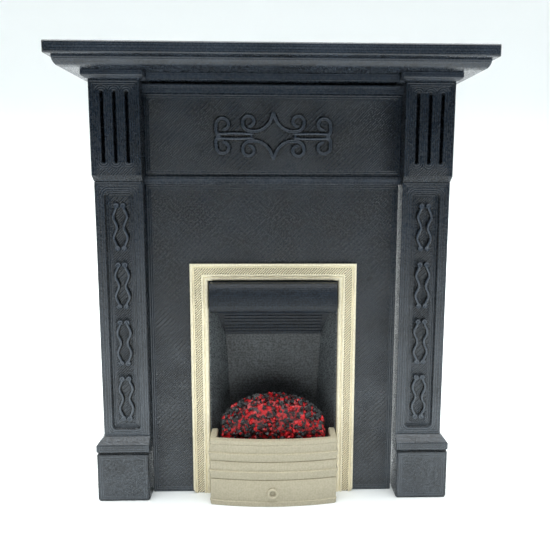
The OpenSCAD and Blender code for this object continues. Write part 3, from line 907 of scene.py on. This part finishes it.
def add_insert():
    """The pale frame and, behind it, the black firebox."""
    pale = moulded("trim_champagne", PALE_DARK, PALE_LIGHT, roughness=0.40, pitch=LINE_PITCH,
                   depth=0.02, strand=0.3, shade=0.25)
    lining = moulded("firebox_black", LINING_DARK, LINING_LIGHT, roughness=0.42, pitch=0.42,
                     depth=0.06, strand=0.3, level=True, ior=BLACK_IOR)
    # The cheeks get a lighter copy of the firebox black, as painted light
    cheek = moulded("cheek_black", LINING_DARK, CHEEK_LIGHT, roughness=0.4, pitch=0.42,
                    depth=0.05, strand=0.3, level=True, ior=BLACK_IOR)
    hood = moulded("hood_black", BLACK_DARK, BLACK_LIGHT, roughness=0.4, pitch=0.4,
                   depth=0.05, strand=0.3, level=True, ior=1.42)
    add_trim(pale)
    printed_copy("canopy", hood, 0.16)
    for node in ("left_cheek", "right_cheek"):
        printed_copy(node, cheek, 0.05)
    for node in ("fireback", "firebox_floor"):
        printed_copy(node, lining, 0.05)
    add_throat(hood)


CHEEK_SPLAY = 0.52
THROAT_KNEE = 6.0
THROAT_TOP = (1.6, 45.7)
THROAT_T = 1.2
THROAT_STEPS = 8
THROAT_HALF = 11.8
THROAT_OUT = 0.5
STEP_POINTS = 60
STEP_RAGGED = 0.05
# A step's front from its foot up: share of its rise, how far back it is, and share of the ragging
STEP_FRONT = [(0, 0.28, 0), (0.3, 0.12, 1), (0.62, 0, 1), (0.86, 0.03, 1), (1, 0.2, 0)]


def add_throat(lining):
    """The plate that leans out over the fire between the cheeks, with level steps on its face."""
    lo, hi = THROAT
    knee_y, top_y = BREAST_Y + THROAT_KNEE, BREAST_Y + THROAT_TOP[0]
    plate = [(knee_y, lo.z), (top_y, THROAT_TOP[1]), (top_y, hi.z), (top_y + THROAT_T, hi.z),
             (top_y + THROAT_T, THROAT_TOP[1]), (knee_y + THROAT_T, lo.z)]
    bm = bmesh.new()
    prism_x(bm, plate, -1, 1)
    for vert in bm.verts:
        vert.co.x *= FIRE_HALF - (vert.co.y - BREAST_Y) * CHEEK_SPLAY
    draw = random.Random(SEED + 2)
    for i in range(THROAT_STEPS):
        low, high = i / THROAT_STEPS, (i + 1) / THROAT_STEPS
        back_y = knee_y + (top_y - knee_y) * low + THROAT_OUT
        front_y = knee_y + (top_y - knee_y) * high - THROAT_OUT
        z0 = lo.z + (THROAT_TOP[1] - lo.z) * low
        z1 = lo.z + (THROAT_TOP[1] - lo.z) * high
        add_step(bm, draw, (back_y, front_y), (z0, z1))
    piece = finish_piece("stepped_throat", bm, "throat_plate", lining, sharp=50)
    mark_print(piece, lo, hi)


def add_step(bm, draw, depths, heights):
    """One level step, whose ragged front has a rounded lip above a small undercut."""
    back_y, front_y = depths
    z0, z1 = heights
    rings = []
    for i in range(STEP_POINTS + 1):
        x = THROAT_HALF * (2 * i / STEP_POINTS - 1)
        ragged = draw.uniform(-STEP_RAGGED, STEP_RAGGED)
        front = [
            (front_y + back + ragged * share, z0 + (z1 - z0) * up) for up, back, share in STEP_FRONT
        ]
        section = [(back_y, z0)] + front + [(back_y, z1)]
        rings.append([bm.verts.new((x, y, z)) for y, z in section])
    bridge(bm, rings)


# ---- Basket ----

BASKET_WALL = 1.5
BASKET_BOW = 1.56
BASKET_PLAY = 0.35
BOW_POINTS = 40
RIM_R = 0.25
CORNER_R = 0.5
TRAY_INSET = 0.1 - BASKET_WALL
TRAY_BACK_HALF = 11.9
TRAY_HEIGHTS = (10.0, 11.2)

# The front's section from the floor up: height, and how far out of the plain face
BASKET_SECTION = [
    (0.0, -0.1), (0.15, 0.02), (0.5, 0.06), (1.0, 0.08), (1.1, 0.15), (1.25, 0.13), (1.34, -0.04),
    (1.5, 0.02), (6.35, 0.05), (6.5, -0.02), (6.58, -0.3), (6.7, -0.04), (7.4, 0.12), (8.42, 0.33),
    (8.56, 0.35), (8.66, 0.28), (8.74, 0.0), (8.95, 0.04), (10.8, 0.06), (10.94, -0.02),
    (11.04, -0.3), (11.14, -0.04), (11.8, 0.12), (12.82, 0.33), (12.96, 0.35), (13.06, 0.28),
    (13.14, 0.0), (13.35, 0.04), (14.95, 0.06), (15.08, -0.08), (15.2, 0.03), (15.95, 0.05),
    (16.12, -0.03), (16.2, -0.25),
]


# The middle of the basket's plain face, behind its proudest plank
PLAIN_Y = BASKET[0].y + max(out for z, out in BASKET_SECTION)


def bow_outline(out):
    """The basket's plan, out from its plain face, as [x, y] points from its back left round the
    bow to its back right."""
    half = FIRE_HALF - BASKET_PLAY
    radius = (half ** 2 + BASKET_BOW ** 2) / (2 * BASKET_BOW)
    side = half + out
    reach = radius + out
    limit = math.asin((side - CORNER_R) / reach)
    edge = []
    for i in range(BOW_POINTS + 1):
        a = -limit + 2 * limit * i / BOW_POINTS
        edge.append((reach * math.sin(a), PLAIN_Y + radius - reach * math.cos(a)))
    end_x, end_y = edge[-1][0], edge[0][1]
    right = []
    for i in range(1, 7):
        a = math.radians(90 * i / 7)
        right.append((end_x + CORNER_R * math.sin(a), end_y + CORNER_R * (1 - math.cos(a))))
    right += [(side, end_y + CORNER_R), (side, BREAST_Y)]
    left = [(-x, y) for x, y in reversed(right)]
    return left + edge + right


def add_basket(pale):
    """A bowed front of three planks with returns to the breast, hollow, with a tray for the bed."""
    bm = bmesh.new()
    outer = [[bm.verts.new((x, y, z)) for x, y in bow_outline(out)] for z, out in BASKET_SECTION]
    rim = BASKET_SECTION[-1][0]
    inside = [(rim, RIM_R - BASKET_WALL), (rim - RIM_R, -BASKET_WALL), (0.0, -BASKET_WALL)]
    inner = [[bm.verts.new((x, y, z)) for x, y in bow_outline(out)] for z, out in inside]
    rings = outer + inner
    rings.append(rings[0])
    for one, two in zip(rings, rings[1:]):
        for i in range(len(one) - 1):
            bm.faces.new((one[i], one[i + 1], two[i + 1], two[i]))
    for end in (0, -1):
        bm.faces.new([ring[end] for ring in rings[:-1]])
    plan = bow_outline(TRAY_INSET)
    plan += [(TRAY_BACK_HALF, BASKET[1].y), (-TRAY_BACK_HALF, BASKET[1].y)]
    bridge(bm, [[bm.verts.new((x, y, z)) for x, y in plan] for z in TRAY_HEIGHTS])
    finish_piece("bowed_basket", bm, "basket", pale, sharp=32)


# The knob's section from its stem to its middle: share of its radius, and depth behind its face
KNOB_STEM = 0.66
KNOB_SECTION = [
    (0.68, 0.6), (0.94, 0.55), (1, 0.34), (0.97, 0.14), (0.88, 0.03), (0.77, 0), (0.64, 0.04),
    (0.55, 0.2), (0.5, 0.5), (0.3, 0.6), (0.08, 0.5),
]


def add_knob(pale):
    """A turned ring knob with a dished middle, on a short stem."""
    lo, hi = KNOB
    radius = (hi.x - lo.x) / 2
    profile = [(radius * KNOB_STEM, hi.y)]
    profile += [(radius * share, lo.y + depth) for share, depth in KNOB_SECTION]
    bm = bmesh.new()
    lathe(bm, profile, ((lo.x + hi.x) / 2, (lo.z + hi.z) / 2), 40)
    finish_piece("ring_knob", bm, "basket_knob", pale, sharp=60)


def add_grate():
    """The basket and its knob, in one pale plastic."""
    planks = moulded("basket_champagne", PLANK_DARK, PLANK_LIGHT, roughness=0.4, pitch=0.6,
                     depth=0.012, strand=0.15)
    add_basket(planks)
    add_knob(planks)


# ---- Fire ----

COALS = 520
FRONT_COALS = 190
COAL_R = (0.36, 0.70)
STEEPEST = 3.5
COAL_MARGIN = 0.45
# The heap is a low dome on a level shoulder, in plan half as wide and deep as this
HEAP_HALF = (13.4, 5.1)
HEAP_MID_Y = BREAST_Y - 0.7
HEAP_SHOULDER = 15.6
HEAP_BASE = 15.0
HEAP_BACK_HALF = 11.6


def heap_height(x, y):
    """The height of the ember heap over a point."""
    rise = HEAP[1].z - HEAP_BASE
    u, v = x / HEAP_HALF[0], (y - HEAP_MID_Y) / HEAP_HALF[1]
    return max(HEAP_SHOULDER, HEAP_BASE + rise * math.sqrt(max(0.0, 1 - u * u - v * v)))


def heap_area(x, y):
    """How much surface the heap has for each unit of plan at a point, from 1 on the level."""
    step = 0.1
    here = heap_height(x, y)
    slope = math.hypot(heap_height(x + step, y) - here, heap_height(x, y + step) - here) / step
    return min(STEEPEST, math.hypot(1, slope))


def heap_inside(x, y):
    """Whether a point is over the heap's plan, which narrows behind the breast, less a margin."""
    lo, hi = HEAP
    if not lo.y + COAL_MARGIN < y < hi.y - COAL_MARGIN:
        return False
    half = hi.x - COAL_MARGIN
    if y > BREAST_Y:
        half += (HEAP_BACK_HALF - hi.x) * (y - BREAST_Y) / (hi.y - BREAST_Y)
    return abs(x) < half


EMBER_EDGE = 1.0
EMBER_FOOT = 0.3
EMBER_ROUGH = (-0.45, 0.05)


def add_embers(red):
    """The rough red heap that the coals lie on."""
    bm = node_bmesh("ember_bed")
    bmesh.ops.triangulate(bm, faces=bm.faces)
    for _ in range(3):
        long_edges = [e for e in bm.edges if e.calc_length() > EMBER_EDGE]
        bmesh.ops.subdivide_edges(bm, edges=long_edges, cuts=1)
        bmesh.ops.triangulate(bm, faces=bm.faces)
    bm.normal_update()
    draw = random.Random(SEED)
    floor_z = HEAP[0].z + EMBER_FOOT
    for vert in bm.verts:
        if vert.co.z > floor_z:
            vert.co += vert.normal * draw.uniform(*EMBER_ROUGH)
    finish_piece("ember_heap", bm, "ember_bed", red, sharp=80)


def add_coals(coal, red):
    """Irregular granules over the heap, most of them black and some painted red."""
    draw = random.Random(SEED + 1)
    black_bm, red_bm = bmesh.new(), bmesh.new()
    lo, hi = HEAP
    places = []
    while len(places) < COALS:
        x = draw.uniform(lo.x, hi.x)
        y = draw.uniform(lo.y, hi.y)
        if heap_inside(x, y) and draw.random() * STEEPEST < heap_area(x, y):
            places.append((x, y, heap_height(x, y)))
    while len(places) < COALS + FRONT_COALS:
        x = draw.uniform(lo.x + 0.5, hi.x - 0.5)
        z = draw.uniform(lo.z + 3, hi.z)
        if z < heap_height(x, lo.y):
            places.append((x, lo.y + 0.15, z))
    for place in places:
        size = draw.uniform(*COAL_R)
        glow = 0.14 + 0.46 * math.exp(-((place[0] - 0.5) / 6.5) ** 2)
        chosen = red_bm if draw.random() < glow else black_bm
        shift = Vector([draw.uniform(-0.15, 0.15) for _ in range(3)]) * size
        add_coal(chosen, Vector(place) + shift, size, draw)
    finish_piece("coals", black_bm, "coals", coal, sharp=40)
    finish_piece("red_coals", red_bm, "coals", red, sharp=40)


def add_coal(bm, place, size, draw):
    """One rough lump."""
    made = bmesh.ops.create_icosphere(bm, subdivisions=1, radius=1.0)
    turn = Matrix.Rotation(draw.uniform(0, 6.3), 3, (draw.random(), draw.random(), 0.3))
    squash = Vector([draw.uniform(0.75, 1.2) for _ in range(3)])
    for vert in made["verts"]:
        rough = draw.uniform(0.78, 1.15)
        vert.co = turn @ Vector([c * s * size * rough for c, s in zip(vert.co, squash)])
        vert.co += Vector(place)


def add_fire():
    red = glowing_red()
    add_embers(red)
    add_coals(charcoal(), red)


def main():
    add_camera()
    add_world()
    add_floor()
    add_mantel()
    add_insert()
    add_grate()
    add_fire()


main()
